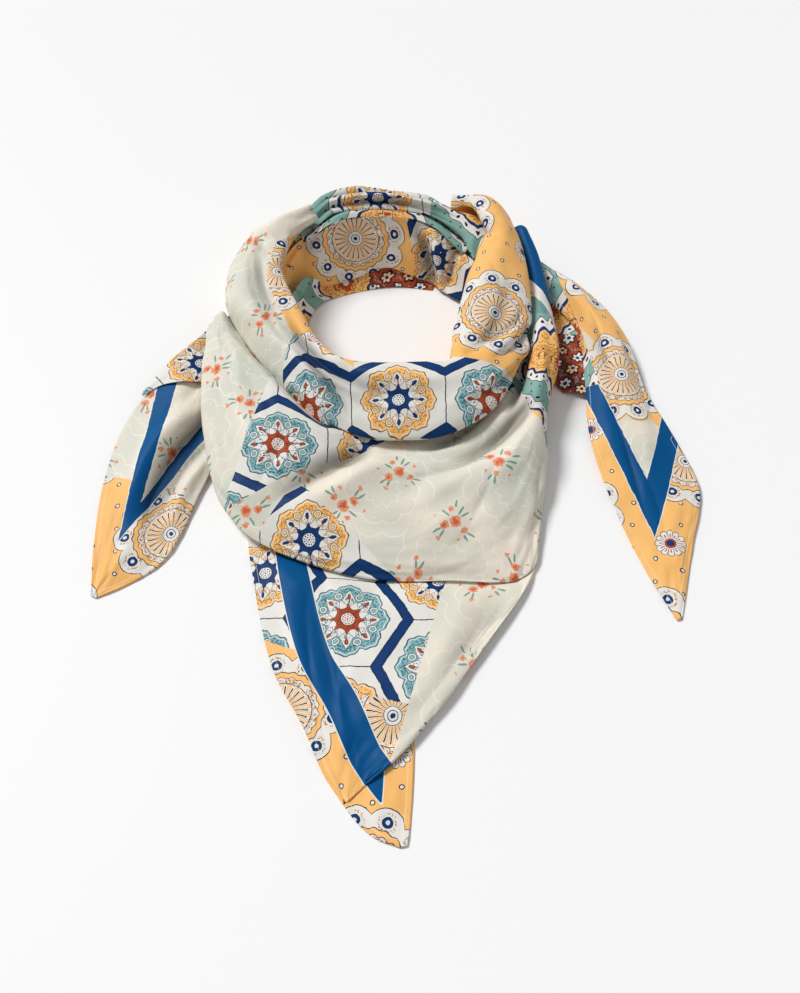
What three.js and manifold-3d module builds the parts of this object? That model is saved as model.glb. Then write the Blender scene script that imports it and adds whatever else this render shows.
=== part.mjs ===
// A printed silk triangle scarf, wound once into a neck ring and laid on a table, in millimetres, +Z up.
// The ring stands round an open hollow, the middle corner is spread towards -Y as a bib,
// and the two end corners come out from under the ring as tails on the left (-X) and the right (+X).
// The scarf is one cut of cloth. Each stretch of it that shows is a wall of its own, lofted through
// a short table of sections, and the layers hidden inside the ring share one rounded solid.
import * as THREE from "three";
import { mergeVertices } from "three/addons/utils/BufferGeometryUtils.js";
import Module from "manifold-3d";

const wasm = await Module();
wasm.setup();

const WALL = 1.6; // thickness of every cloth wall
const GAP = 0.42; // left between a stretch and the ones lying on it
const TUCK = 10; // how far a folded edge turns in under its stretch
const TO_BASE_CENTRE = { x: 2.5, y: -7.5 }; // moves the origin from under the ring to the base's centre

// A section is a row of points across the cloth, x y z each. Where a row ends in two plain numbers,
// the cloth folds over at both edges, and they say how far it falls beyond the first and last point.

// The ring from the back left, round the left side, the front and the right side, to the back right:
// inner rim, crown, outer edge, then the fall at the rim and at the outer edge.
const COLLAR = [
  [[-104, 334, 73], [-120, 352, 84], [-136, 372, 60], 18, 56],
  [[-126, 310, 74], [-154, 320, 80], [-180, 334, 54], 30, 48],
  [[-137, 276, 73], [-170, 276, 73], [-200, 280, 42], 40, 38],
  [[-137, 240, 70], [-168, 222, 68], [-204, 226, 40], 45, 30],
  [[-119, 192, 68], [-150, 168, 64], [-190, 178, 46], 45, 10],
  [[-98, 146, 66], [-120, 118, 62], [-150, 122, 46], 42, 8],
  [[-68, 116, 66], [-80, 78, 60], [-92, 62, 42], 42, 8],
  [[-26, 108, 66], [-28, 66, 59], [-32, 34, 40], 42, 8],
  [[22, 108, 66], [30, 68, 59], [38, 38, 40], 42, 8],
  [[48, 112, 65], [74, 82, 62], [96, 70, 42], 40, 8],
  [[52, 136, 62], [90, 116, 67], [124, 116, 46], 38, 10],
  [[58, 180, 60], [95, 166, 72], [138, 166, 50], 40, 12],
  [[70, 232, 62], [106, 220, 75], [143, 222, 54], 40, 12],
  [[84, 276, 67], [114, 272, 79], [144, 284, 57], 30, 14],
  [[94, 312, 75], [122, 316, 85], [146, 326, 62], 14, 30],
  [[82, 340, 79], [104, 352, 87], [120, 364, 66], 12, 60],
  [[58, 350, 75], [72, 364, 80], [82, 376, 60], 10, 58],
];

// The back of the ring, from under its left end to under its right end: rim, crown, outer edge, falls.
const COLLAR_BACK = [
  [[-128, 316, 68], [-146, 330, 75], [-160, 346, 52], 16, 46],
  [[-102, 332, 70], [-118, 350, 80], [-132, 370, 57], 14, 54],
  [[-66, 344, 70], [-70, 362, 84], [-78, 386, 60], 14, 58],
  [[-10, 346, 68], [-10, 360, 82], [-8, 384, 60], 14, 58],
  [[38, 336, 64], [46, 350, 76], [54, 374, 58], 16, 56],
  [[70, 314, 57], [84, 327, 67], [99, 349, 52], 16, 46],
  [[82, 286, 50], [100, 290, 58], [121, 298, 44], 16, 40],
];

// The drape below the ring, from the left shoulder across the front and up the right side:
// top edge under the ring, upper and lower middle, bottom edge, and the turn in under the bottom edge.
const DRAPE = [
  [[-198, 216, 34], [-208, 206, 41], [-216, 196, 40], [-222, 186, 32], [-213, 188, 23]],
  [[-180, 164, 44], [-194, 152, 51], [-209, 136, 46], [-219, 112, 30], [-210, 114, 23]],
  [[-146, 126, 46], [-166, 100, 52], [-190, 70, 46], [-207, 34, 26], [-199, 40, 18]],
  [[-106, 92, 42], [-130, 52, 50], [-160, 8, 42], [-187, -20, 20], [-180, -12, 11]],
  [[-68, 62, 32], [-92, 8, 44], [-122, -40, 34], [-150, -70, 16], [-144, -62, 7]],
  [[-32, 58, 24], [-44, -14, 35], [-66, -70, 28], [-88, -108, 14], [-85, -98, 6]],
  [[16, 60, 22], [10, -12, 33], [-4, -78, 25], [-18, -131, 12], [-17, -121, 5]],
  [[70, 84, 24], [62, 0, 35], [58, -72, 22], [58, -128, 10], [58, -118, 4]],
  [[112, 168, 32], [116, 70, 42], [106, -26, 27], [108, -112, 9], [107, -102, 3]],
  [[128, 290, 44], [158, 160, 44], [152, 20, 25], [133, -98, 8], [129, -88, 3]],
  [[150, 300, 36], [172, 160, 30], [161, 30, 17], [141, -76, 7], [136, -68, 3]],
  [[152, 296, 18], [168, 160, 12], [154, 34, 6], [136, -62, 3], [130, -54, 1.5]],
];

// The bib from under the drape down to the turn of its fold: left hem, middle, right fold.
const BIB = [
  [[-164, -16, 9], [-20, -64, 15], [112, -60, 6]],
  [[-160, -56, 6], [-28, -108, 10], [121, -96, 4]],
  [[-148, -118, 4], [-36, -150, 9], [122, -118, 6]],
  [[-122, -214, 3], [-40, -224, 8], [64, -208, 6]],
  [[-92, -268, 3], [-40, -268, 7], [30, -252, 6]],
  [[-64, -312, 3], [-36, -304, 5], [4, -292, 5]],
  [[-46, -338, 3], [-34, -328, 3], [-16, -314, 3]],
];

// The middle corner itself, flat on the table under the end of the bib: left hem, middle, right hem.
const BIB_POINT = [
  [[-104, -228, 1], [-50, -226, 1], [8, -224, 1]],
  [[-80, -282, 1], [-36, -280, 1], [8, -276, 1]],
  [[-44, -340, 1], [-20, -338, 1], [4, -332, 1]],
  [[-24, -366, 1], [-12, -365, 1], [2, -362, 1]],
  [[-6, -374, 1], [-3, -374, 1], [1, -373, 1]],
];

// The strip of the left tail that is turned over along its outer edge: fold, middle, edge of the turn.
const TAIL_LEFT_TURN = [
  [[-198, 230, 27], [-192, 190, 30], [-186, 140, 27]],
  [[-218, 206, 27], [-210, 172, 31], [-204, 130, 28]],
  [[-251, 166, 22], [-242, 146, 27], [-232, 114, 25]],
  [[-276, 130, 17], [-269, 118, 20], [-260, 98, 21]],
  [[-294, 94, 12], [-292, 90, 13], [-288, 82, 14]],
];

// The left tail from under the ring to its point: outer edge, middle, inner hem.
const TAIL_LEFT = [
  [[-186, 232, 21], [-176, 160, 22], [-166, 88, 12]],
  [[-218, 200, 21], [-204, 138, 20], [-190, 70, 8]],
  [[-248, 162, 18], [-227, 96, 18], [-202, 12, 4]],
  [[-282, 112, 12], [-248, 52, 17], [-213, -24, 3]],
  [[-303, 60, 7], [-262, 2, 13], [-224, -66, 2]],
  [[-309, -2, 4], [-274, -52, 9], [-240, -100, 1.5]],
  [[-307, -74, 2], [-285, -96, 5], [-266, -121, 1]],
  [[-303, -136, 1], [-301, -137, 1], [-298, -138, 1]],
];

// The right tail from under the ring to its point: inner hem, middle, outer edge.
const TAIL_RIGHT = [
  [[140, 284, 16], [148, 304, 24], [158, 322, 16]],
  [[172, 250, 14], [188, 266, 33], [196, 290, 24]],
  [[196, 204, 13], [214, 212, 34], [226, 244, 22]],
  [[199, 132, 10], [224, 138, 28], [247, 184, 16]],
  [[197, 63, 7], [232, 68, 19], [266, 114, 10]],
  [[208, -12, 4], [247, -2, 12], [289, 52, 6]],
  [[226, -78, 2.5], [264, -60, 8], [304, -13, 4]],
  [[242, -124, 1.5], [264, -106, 5], [286, -80, 3]],
  [[258, -162, 1], [260, -162, 1], [263, -161, 1]],
];

// The under side of the right tail's cloth, between the ring and the tail: left, middle, right.
const TAIL_RIGHT_BACK = [
  [[142, 262, 3], [168, 256, 9], [186, 250, 17]],
  [[150, 200, 3], [176, 194, 8], [204, 186, 15]],
  [[158, 150, 2], [182, 146, 6], [208, 140, 12]],
  [[176, 122, 1], [190, 118, 4], [206, 112, 8]],
];

// The folded edge between the rim and the inner wall at the nape: inner, ridge, outer.
const NAPE_FOLD = [
  [[-118, 308, 66], [-121, 316, 71], [-124, 324, 66]],
  [[-92, 322, 70], [-94, 330, 74], [-97, 338, 68]],
  [[-54, 334, 70], [-56, 341, 74], [-58, 348, 68]],
  [[-12, 338, 68], [-12, 345, 72], [-12, 352, 66]],
  [[28, 330, 64], [32, 337, 67], [37, 344, 62]],
  [[70, 300, 56], [76, 306, 58], [83, 313, 52]],
];

// The inner wall at the nape, from foot to top.
const NAPE_INNER = [
  [[-136, 228, 14], [-148, 240, 40], [-152, 248, 60]],
  [[-128, 276, 8], [-133, 292, 42], [-130, 304, 64]],
  [[-92, 286, 5], [-98, 306, 44], [-92, 320, 70]],
  [[-56, 300, 7], [-58, 318, 46], [-54, 334, 70]],
  [[-18, 310, 14], [-12, 324, 48], [-8, 337, 68]],
  [[16, 296, 8], [20, 312, 44], [27, 330, 64]],
  [[46, 278, 4], [60, 292, 38], [68, 306, 56]],
  [[84, 250, 5], [90, 257, 34], [98, 268, 46]],
];

// The lowest turn of cloth inside the ring: its edge on the table, middle, upper edge.
const NAPE_LOWER = [
  [[-58, 98, 1.5], [-68, 93, 14], [-78, 90, 26]],
  [[-96, 168, 1.5], [-106, 164, 14], [-114, 162, 28]],
  [[-112, 222, 1.5], [-124, 222, 14], [-134, 224, 30]],
  [[-98, 262, 1.5], [-108, 270, 14], [-114, 278, 30]],
  [[-62, 278, 1.5], [-66, 292, 14], [-70, 304, 30]],
  [[-10, 290, 1.5], [-8, 306, 16], [-6, 318, 34]],
  [[34, 284, 1.5], [40, 300, 12], [46, 312, 24]],
];

// Fold tables. A ridge, or with a negative rise a trough, runs over a stretch from one share of its
// length to another, and moves from one share of its width to another. Reach is half its width.
const COLLAR_FOLDS = [
  { from: 0.12, till: 0.5, at: 0.5, to: 0.62, rise: -5, reach: 0.06 },
  { from: 0.36, till: 0.66, at: 0.38, to: 0.6, rise: -4, reach: 0.05 },
];
const DRAPE_FOLDS = [
  { from: 0.05, till: 0.6, at: 0.62, to: 0.42, rise: -5, reach: 0.07 },
  { from: 0.5, till: 0.95, at: 0.5, to: 0.3, rise: 5, reach: 0.08 },
];
const TAIL_LEFT_FOLDS = [{ from: 0.2, till: 0.9, at: 0.72, to: 0.6, rise: -6, reach: 0.12 }];
const TAIL_RIGHT_FOLDS = [{ from: 0.1, till: 0.8, at: 0.35, to: 0.5, rise: -3, reach: 0.12 }];

// The stretches from the top of the pile to the bottom, with the colour that most of each shows.
// Steps are the wall's facets between two points of a section, and between two sections.
// A span gives the first and last section of a stretch that is only part of its table.
const STRETCHES = [
  { name: "collar_left", rows: COLLAR, folds: COLLAR_FOLDS, steps: [3, 2], span: [0, 4], color: 0xdde0d0 },
  { name: "collar_front", rows: COLLAR, folds: COLLAR_FOLDS, steps: [3, 2], span: [4, 9], color: 0xedebe6 },
  { name: "collar_right", rows: COLLAR, folds: COLLAR_FOLDS, steps: [3, 2], span: [9, 16], color: 0xe0ae5c },
  { name: "collar_back", rows: COLLAR_BACK, folds: [], steps: [2, 2], color: 0x8fbfc4 },
  { name: "drape", rows: DRAPE, folds: DRAPE_FOLDS, steps: [2, 2], color: 0xe4e1d2 },
  { name: "bib", rows: BIB, folds: [], steps: [3, 2], color: 0xedebe6 },
  { name: "bib_point", rows: BIB_POINT, folds: [], steps: [1, 2], color: 0xe0ae5c },
  { name: "tail_left_turn", rows: TAIL_LEFT_TURN, folds: [], steps: [1, 2], color: 0x8fbfc4 },
  { name: "tail_left", rows: TAIL_LEFT, folds: TAIL_LEFT_FOLDS, steps: [3, 2], color: 0xede6d6 },
  { name: "tail_right", rows: TAIL_RIGHT, folds: TAIL_RIGHT_FOLDS, steps: [3, 2], color: 0xe0ae5c },
  { name: "tail_right_back", rows: TAIL_RIGHT_BACK, folds: [], steps: [1, 1], color: 0xb5502a },
  { name: "nape_fold", rows: NAPE_FOLD, folds: [], steps: [1, 2], color: 0x7fb5a8 },
  { name: "nape_inner", rows: NAPE_INNER, folds: [], steps: [2, 2], color: 0xe0ae5c },
  { name: "nape_lower", rows: NAPE_LOWER, folds: [], steps: [1, 2], color: 0x20386b },
];

// The hidden layers: a ring with a flat underside and a rounded top.
const CORE = { x: -34, y: 216, inner: 124, outer: 158, edge: 12, top: 36, sides: 32 };

// The points of one section, with the fallen edges added before its first and after its last point.
function sectionPoints(row) {
  const points = row.filter(Array.isArray).map((p) => new THREE.Vector3(...p));
  const falls = row.filter(Number.isFinite);
  if (!falls.length) return points;
  const first = fallenEdge(points[0], points[1], falls[0]);
  const last = fallenEdge(points.at(-1), points.at(-2), falls[1]);
  return [first, ...points, last];
}

function fallenEdge(edge, inside, fall) {
  const inward = inside.clone().sub(edge).setZ(0).setLength(TUCK);
  return edge.clone().add(inward).setZ(edge.z - fall);
}

function curvePoints(points, steps) {
  const curve = new THREE.CatmullRomCurve3(points, false, "centripetal");
  return curve.getPoints(steps * (points.length - 1));
}

// The middle surface of a stretch as rows of points. It lies no lower than half a wall.
function surfaceGrid({ rows, folds, steps: [stepsAcross, stepsAlong], span = [0, rows.length - 1] }) {
  const sections = rows.map((row) => curvePoints(sectionPoints(row), stepsAcross));
  const lines = sections[0].map((_, j) => curvePoints(sections.map((s) => s[j]), stepsAlong));
  const grid = lines[0].map((_, i) => lines.map((line) => line[i]));
  const normals = gridNormals(grid);
  const shareAlong = 1 / (grid.length - 1);
  const shareAcross = 1 / (grid[0].length - 1);
  const folded = grid.map((line, i) =>
    line.map((p, j) => {
      const rise = folds.reduce((sum, f) => sum + foldRise(f, j * shareAcross, i * shareAlong), 0);
      const q = p.clone().addScaledVector(normals[i][j], rise);
      return q.setZ(Math.max(q.z, WALL / 2));
    }),
  );
  return folded.slice(span[0] * stepsAlong, span[1] * stepsAlong + 1);
}

function foldRise({ from, till, at, to, rise, reach }, across, along) {
  const share = (along - from) / (till - from);
  if (share <= 0 || share >= 1) return 0;
  const offset = (across - THREE.MathUtils.lerp(at, to, share)) / reach;
  return rise * Math.sin(Math.PI * share) * Math.exp(-offset * offset);
}

// Unit normals of a grid, turned to the side that shows.
function gridNormals(grid) {
  const lastRow = grid.length - 1;
  const lastColumn = grid[0].length - 1;
  const normals = grid.map((line, i) =>
    line.map((_, j) => {
      const ahead = grid[Math.min(i + 1, lastRow)][j].clone().sub(grid[Math.max(i - 1, 0)][j]);
      const beside = line[Math.min(j + 1, lastColumn)].clone().sub(line[Math.max(j - 1, 0)]);
      return ahead.cross(beside).normalize();
    }),
  );
  const middle = normals[lastRow >> 1][lastColumn >> 1];
  const turn = middle.z < 0 ? -1 : 1;
  return normals.map((line) => line.map((n) => n.multiplyScalar(turn)));
}

// A closed wall round a grid. Where the grid lies on the table, the wall's underside is flat on it.
function wallSolid(grid, thickness) {
  const normals = gridNormals(grid);
  const columns = grid[0].length;
  const layer = (shift) =>
    grid.flatMap((line, i) => line.map((p, j) => offsetPoint(p, normals[i][j], shift)));
  const points = [...layer(thickness / 2), ...layer(-thickness / 2)];
  const under = grid.length * columns;
  const faces = [];
  const addQuad = (a, b, c, d) => faces.push(a, b, c, a, c, d);
  for (let i = 0; i + 1 < grid.length; i++) {
    for (let j = 0; j + 1 < columns; j++) {
      const a = i * columns + j;
      const c = a + columns + 1;
      addQuad(a, a + columns, c, a + 1);
      addQuad(under + a, under + a + 1, under + c, under + a + columns);
    }
  }
  const rim = rimOf(grid.length, columns);
  rim.forEach((a, k) => {
    const b = rim[(k + 1) % rim.length];
    addQuad(a, b, under + b, under + a);
  });
  return solidFrom(points, faces);
}

// A grid with one more line past each of its edges, so that what it cuts keeps clear of its edges too.
function widerGrid(grid) {
  const past = (edge, inside) => edge.clone().add(edge.clone().sub(inside).setLength(GAP));
  const wide = grid.map((line) => [past(line[0], line[1]), ...line, past(line.at(-1), line.at(-2))]);
  const before = wide[0].map((p, j) => past(p, wide[1][j]));
  const after = wide.at(-1).map((p, j) => past(p, wide.at(-2)[j]));
  return [before, ...wide, after];
}

function offsetPoint(point, normal, shift) {
  const q = point.clone().addScaledVector(normal, shift);
  const resting = point.z <= WALL && q.z < point.z;
  return resting ? q.setZ(0) : q;
}

// The grid's edge points in order, once round.
function rimOf(rows, columns) {
  const rim = [];
  for (let j = 0; j + 1 < columns; j++) rim.push(j);
  for (let i = 0; i + 1 < rows; i++) rim.push(i * columns + columns - 1);
  for (let j = columns - 1; j > 0; j--) rim.push((rows - 1) * columns + j);
  for (let i = rows - 1; i > 0; i--) rim.push(i * columns);
  return rim;
}

function solidFrom(points, faces) {
  const merged = mergeVertices(new THREE.BufferGeometry().setFromPoints(points).setIndex(faces), 1e-4);
  const vertProperties = new Float32Array(merged.attributes.position.array);
  const triVerts = new Uint32Array(merged.index.array);
  const solid = new wasm.Manifold(new wasm.Mesh({ numProp: 3, vertProperties, triVerts }));
  if (solid.volume() > 0) return solid;
  return new wasm.Manifold(
    new wasm.Mesh({ numProp: 3, vertProperties, triVerts: triVerts.slice().reverse() }),
  );
}

function geometryFrom(solid) {
  const mesh = solid.getMesh();
  const geometry = new THREE.BufferGeometry();
  geometry.setAttribute("position", new THREE.BufferAttribute(mesh.vertProperties, 3));
  geometry.setIndex(new THREE.BufferAttribute(mesh.triVerts, 1));
  geometry.computeVertexNormals();
  return geometry;
}

function largestBody(solid) {
  return solid.decompose().reduce((a, b) => (a.volume() > b.volume() ? a : b));
}

function coreSolid({ x, y, inner, outer, edge, top, sides }) {
  const profile = new THREE.Path();
  const middle = (inner + outer) / 2;
  profile.moveTo(inner, 0);
  profile.lineTo(inner, edge);
  profile.quadraticCurveTo(inner, top, middle, top);
  profile.quadraticCurveTo(outer, top, outer, edge);
  profile.lineTo(outer, 0);
  profile.closePath();
  const geometry = new THREE.LatheGeometry(profile.getPoints(3), sides);
  geometry.rotateX(Math.PI / 2);
  geometry.translate(x, y, 0);
  geometry.deleteAttribute("normal");
  geometry.deleteAttribute("uv");
  const merged = mergeVertices(geometry, 1e-3);
  const points = [];
  for (let i = 0; i < merged.attributes.position.count; i++) {
    points.push(new THREE.Vector3().fromBufferAttribute(merged.attributes.position, i));
  }
  return solidFrom(points, [...merged.index.array]);
}

function fabric(color) {
  return new THREE.MeshStandardMaterial({ color, roughness: 0.45, metalness: 0, side: THREE.DoubleSide });
}

const scarf = new THREE.Group();
scarf.position.set(TO_BASE_CENTRE.x, TO_BASE_CENTRE.y, 0);
let above = null;
for (const stretch of STRETCHES) {
  const grid = surfaceGrid(stretch);
  const whole = wallSolid(grid, WALL);
  const solid = above ? largestBody(whole.subtract(above)) : whole;
  const mesh = new THREE.Mesh(geometryFrom(solid), fabric(stretch.color));
  mesh.name = stretch.name;
  scarf.add(mesh);
  const cleared = wallSolid(widerGrid(grid), WALL + 2 * GAP);
  above = above ? above.add(cleared) : cleared;
}
const core = new THREE.Mesh(geometryFrom(largestBody(coreSolid(CORE).subtract(above))), fabric(0xd8d4c4));
core.name = "ring_core";
scarf.add(core);

export default scarf;
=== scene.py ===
"""A printed silk triangle scarf, wound once into a neck ring and laid on a pale table.

The tables below are in millimetres, in the frame of the ring: X to the right, Y away from the viewer,
Z up from the table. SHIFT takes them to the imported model's frame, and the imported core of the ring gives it.
"""

import math

import bpy
import numpy as np
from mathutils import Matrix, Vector
from mathutils.bvhtree import BVHTree


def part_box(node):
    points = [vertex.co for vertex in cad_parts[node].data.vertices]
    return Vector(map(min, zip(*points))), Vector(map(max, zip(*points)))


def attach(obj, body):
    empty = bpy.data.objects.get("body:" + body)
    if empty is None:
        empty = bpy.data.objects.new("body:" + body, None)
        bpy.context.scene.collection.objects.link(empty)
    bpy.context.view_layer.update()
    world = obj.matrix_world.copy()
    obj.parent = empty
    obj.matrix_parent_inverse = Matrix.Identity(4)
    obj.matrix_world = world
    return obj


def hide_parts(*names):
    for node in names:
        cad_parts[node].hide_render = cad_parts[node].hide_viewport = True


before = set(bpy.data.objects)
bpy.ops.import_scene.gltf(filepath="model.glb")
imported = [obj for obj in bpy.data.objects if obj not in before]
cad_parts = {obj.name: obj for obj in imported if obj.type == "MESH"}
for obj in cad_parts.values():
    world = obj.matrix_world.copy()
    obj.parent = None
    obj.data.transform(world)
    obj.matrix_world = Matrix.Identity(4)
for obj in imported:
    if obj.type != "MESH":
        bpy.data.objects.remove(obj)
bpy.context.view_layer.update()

MM = 0.001
RING_CENTRE = (-34, 216)  # where the tables have the middle of the neck ring
CLOTH = 0.45  # thickness of the silk
HEM_THICKNESS = 1.0  # of the rolled hem
HEM_WIDTH = 6.0
TUCK = 10.0  # how far a folded edge turns in under its stretch
CLEARANCE = 1.0  # aimed at between the middle surfaces of two stretches that lie on each other
LOWEST = 0.3  # of a middle surface above the table
MOST_DROP = 16.0  # that a stretch is lowered to lie under another
DROP_REACH = 11.0  # how far round a lowered place the cloth follows it


def ring_shift():
    low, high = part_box("ring_core")
    middle = (low + high) / 2
    return np.array([middle.x / MM - RING_CENTRE[0], middle.y / MM - RING_CENTRE[1], 0.0])


SHIFT = ring_shift()

# --- Tables ---
#
# A section is a row of points across the cloth, x y z each. Where a row ends in two plain
# numbers, the cloth folds over at both edges: they say how far it falls beyond its first and last point.

# The ring from the back left, round the left side, the front and the right side, to the back right:
# inner rim, crown, outer edge, then the fall at the rim and at the outer edge.
RING = [
    [(-102, 332, 73), (-110, 340, 80), (-116, 344, 66), 18, 56],
    [(-126, 308, 74), (-150, 314, 79), (-178, 317, 56), 30, 48],
    [(-137, 276, 73), (-170, 276, 73), (-202, 284, 44), 40, 38],
    [(-137, 240, 70), (-168, 222, 68), (-204, 226, 40), 45, 30],
    [(-119, 192, 68), (-150, 176, 66), (-180, 174, 34), 45, 8],
    [(-98, 146, 66), (-118, 122, 63), (-140, 116, 32), 42, 6],
    [(-68, 116, 66), (-80, 84, 61), (-88, 58, 32), 42, 6],
    [(-26, 108, 66), (-28, 66, 60), (-31, 28, 40), 42, 9],
    [(22, 108, 66), (30, 68, 60), (37, 30, 40), 42, 9],
    [(48, 112, 65), (74, 82, 62), (94, 64, 42), 40, 9],
    [(52, 136, 62), (90, 116, 67), (124, 116, 46), 38, 10],
    [(58, 180, 60), (95, 166, 72), (138, 166, 50), 40, 12],
    [(70, 232, 62), (106, 220, 75), (143, 222, 54), 40, 12],
    [(84, 276, 67), (112, 272, 79), (139, 280, 58), 30, 14],
    [(90, 310, 75), (112, 314, 84), (130, 322, 64), 14, 30],
    [(80, 340, 77), (96, 351, 87), (109, 357, 70), 5, 60],
    [(54, 347, 72), (56, 360, 80), (58, 372, 64), 3, 58],
]

# The back of the ring, from under its left end to under its right end: rim, crown, outer edge, falls.
RING_BACK = [
    [(-128, 312, 67), (-138, 320, 72), (-146, 326, 54), 16, 46],
    [(-102, 330, 70), (-112, 344, 78), (-122, 350, 60), 14, 54],
    [(-66, 344, 70), (-70, 362, 84), (-78, 386, 60), 14, 58],
    [(-10, 346, 68), (-10, 360, 82), (-8, 384, 60), 14, 58],
    [(38, 336, 64), (46, 350, 76), (54, 374, 58), 16, 56],
    [(70, 314, 57), (84, 327, 67), (99, 349, 52), 16, 46],
    [(82, 286, 50), (100, 290, 58), (121, 298, 44), 16, 40],
]

# The drape below the ring, from the left shoulder across the front and up the right side: edge under
# the ring, ridge, three points down the front, bottom shoulder, bottom edge, and its turn in.
DRAPE = [
    [(-188, 212, 22), (-203, 206, 41), (-210, 200, 43), (-215, 193, 41), (-219, 187, 37),
     (-222, 181, 30), (-221, 177, 22), (-212, 179, 15)],
    [(-170, 172, 24), (-189, 163, 50), (-199, 152, 52), (-207, 139, 49), (-214, 125, 43),
     (-219, 109, 33), (-218, 101, 23), (-208, 103, 15)],
    [(-130, 124, 24), (-149, 119, 50), (-164, 101, 53), (-178, 81, 49), (-192, 60, 43),
     (-206, 35, 31), (-207, 24, 20), (-197, 30, 12)],
    [(-92, 82, 22), (-112, 80, 48), (-128, 58, 52), (-146, 30, 49), (-163, 2, 41),
     (-183, -24, 26), (-186, -35, 15), (-176, -28, 8)],
    [(-62, 54, 22), (-76, 44, 42), (-92, 18, 47), (-108, -12, 44), (-127, -42, 34),
     (-148, -66, 20), (-151, -76, 11), (-142, -68, 5)],
    [(-36, 52, 20), (-44, 38, 29), (-51, 0, 38), (-61, -38, 36), (-73, -70, 27),
     (-86, -96, 16), (-87, -105, 8), (-83, -94, 4)],
    [(16, 58, 20), (12, 24, 28), (10, -12, 35), (3, -54, 32), (-5, -86, 24),
     (-14, -112, 15), (-14, -123, 9), (-13, -115, 5)],
    [(70, 82, 20), (66, 44, 26), (62, 0, 37), (59, -46, 31), (58, -84, 20),
     (58, -108, 13), (58, -124, 8), (58, -120, 6)],
    [(112, 168, 30), (116, 110, 40), (116, 60, 43), (111, 4, 37), (107, -44, 24),
     (105, -90, 11.5), (103, -123, 5), (103, -118, 3.5)],
    [(118, 334, 60), (144, 236, 50), (155, 160, 46), (146, 80, 41), (138, 4, 27),
     (128, -66, 12), (118, -115, 4.5), (116, -109, 3.5)],
    [(148, 332, 54), (165, 240, 40), (168, 160, 33), (155, 74, 26), (146, 4, 15),
     (136, -60, 8), (126, -105, 4), (123, -99, 3)],
    [(146, 326, 30), (161, 240, 16), (162, 160, 11), (150, 74, 7), (142, 8, 4),
     (133, -54, 3), (123, -93, 3), (119, -87, 2.5)],
]

# The bib from under the drape down to the turn of its fold: left hem, middle, right fold, its turn under.
BIB = [
    [(-164, -16, 9), (-20, -64, 17), (112, -60, 9), (100, -62, 3)],
    [(-160, -56, 6), (-28, -108, 13), (129, -92, 6), (112, -90, 2)],
    [(-148, -118, 4), (-36, -150, 12), (122, -120, 6), (106, -116, 2)],
    [(-122, -214, 3), (-40, -224, 10), (64, -208, 7), (54, -202, 2)],
    [(-92, -268, 3), (-40, -268, 8), (30, -252, 6), (20, -246, 2)],
    [(-71, -313, 1.8), (-42, -302, 4), (0, -291, 4.5), (-8, -286, 2)],
    [(-53, -339, 1.3), (-45, -332, 1.4), (-34, -319, 1.6), (-38, -317, 1.4)],
]

# The middle corner itself, flat on the table under the end of the bib: left hem, middle, right hem.
BIB_POINT = [
    [(-108, -234, 1), (-50, -228, 1), (8, -224, 1)],
    [(-84, -284, 1), (-38, -281, 1), (8, -276, 1)],
    [(-54, -338, 1), (-24, -336, 1), (6, -330, 1)],
    [(-29, -365, 1), (-14, -364, 1), (3, -361, 1)],
    [(-6, -374, 1), (-3, -374, 1), (1, -373, 1)],
]

# The strip of the left tail that is turned over along its outer edge: fold, middle, edge of the turn.
TAIL_LEFT_TURN = [
    [(-198, 230, 27), (-192, 190, 30), (-186, 140, 27)],
    [(-218, 206, 27), (-210, 172, 31), (-204, 130, 28)],
    [(-251, 164, 22), (-244, 146, 26), (-236, 119, 24)],
    [(-276, 130, 16), (-272, 125, 18), (-267, 118, 17)],
    [(-288, 110, 12.5), (-287, 109, 13), (-286, 107, 12.5)],
]

# The left tail from under the ring to its point: outer edge, middle, inner hem.
TAIL_LEFT = [
    [(-186, 232, 21), (-176, 160, 22), (-166, 88, 12)],
    [(-218, 200, 21), (-204, 138, 20), (-190, 70, 8)],
    [(-248, 162, 18), (-227, 96, 18), (-202, 12, 4)],
    [(-282, 112, 12), (-248, 52, 17), (-213, -24, 3)],
    [(-303, 60, 7), (-262, 2, 13), (-224, -66, 2)],
    [(-312, -6, 4), (-276, -54, 9), (-240, -100, 1.5)],
    [(-310, -74, 2), (-287, -97, 5), (-266, -121, 1)],
    [(-303, -136, 1), (-301, -137, 1), (-298, -138, 1)],
]

# The right tail from under the ring to its point: inner hem, middle, outer edge.
TAIL_RIGHT = [
    [(140, 284, 16), (148, 304, 24), (158, 322, 16)],
    [(172, 250, 14), (188, 266, 33), (190, 284, 24)],
    [(196, 204, 13), (214, 212, 34), (226, 244, 22)],
    [(199, 132, 10), (224, 138, 28), (254, 186, 16)],
    [(197, 63, 7), (232, 68, 19), (266, 114, 10)],
    [(208, -12, 4), (247, -2, 12), (289, 52, 6)],
    [(226, -78, 2.5), (264, -60, 8), (304, -13, 4)],
    [(242, -124, 1.5), (264, -106, 5), (286, -80, 3)],
    [(258, -162, 1), (260, -162, 1), (263, -161, 1)],
]

# The under side of the right tail's cloth, between the ring and the tail: left, middle, right.
TAIL_RIGHT_BACK = [
    [(142, 262, 3), (168, 256, 9), (186, 250, 17)],
    [(150, 200, 3), (176, 194, 8), (204, 186, 15)],
    [(158, 150, 2), (182, 146, 6), (208, 140, 12)],
    [(176, 122, 1), (190, 118, 4), (206, 112, 8)],
]

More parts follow.
